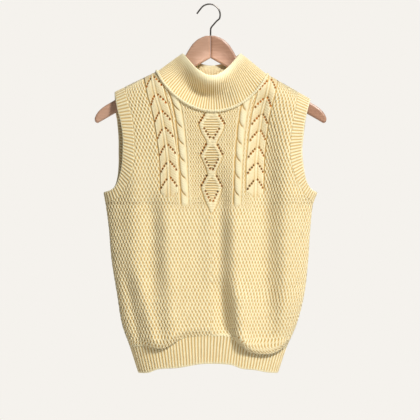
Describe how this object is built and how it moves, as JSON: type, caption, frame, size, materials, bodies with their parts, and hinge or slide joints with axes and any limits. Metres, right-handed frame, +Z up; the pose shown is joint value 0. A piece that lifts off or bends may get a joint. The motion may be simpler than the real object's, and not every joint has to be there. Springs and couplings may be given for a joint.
{
  "type": "knitted sweater vest on a hanger",
  "caption": "Sleeveless knitted sweater vest with funnel collar, ribbed armbands and hem, cabled lace yoke, hanging on a wooden hanger with a wire hook.",
  "frame": {"origin": "inside of the hook's crown, where the hanger hangs on a rail", "axes": "+Z up along the hanging direction, -Y towards the garment's front, +X to the right of someone who looks at the front"},
  "size_m": [0.44, 0.0875, 0.7013],
  "materials": {
    "yarn": "matt knitted cotton, pale yellow",
    "wood_light": "satin clear lacquer on reddish wood",
    "wood_dark": "satin clear lacquer on reddish wood",
    "wire": "dark grey plated wire"
  },
  "bodies": {
    "root": {"front": "yarn", "back": "yarn", "collar": "yarn", "armband_left": "yarn", "armband_right": "yarn", "hem_front": "yarn", "hem_back": "yarn", "hanger_left": "wood_light", "hanger_right": "wood_dark", "hanger_hook": "wire"}
  },
  "joints": []
}
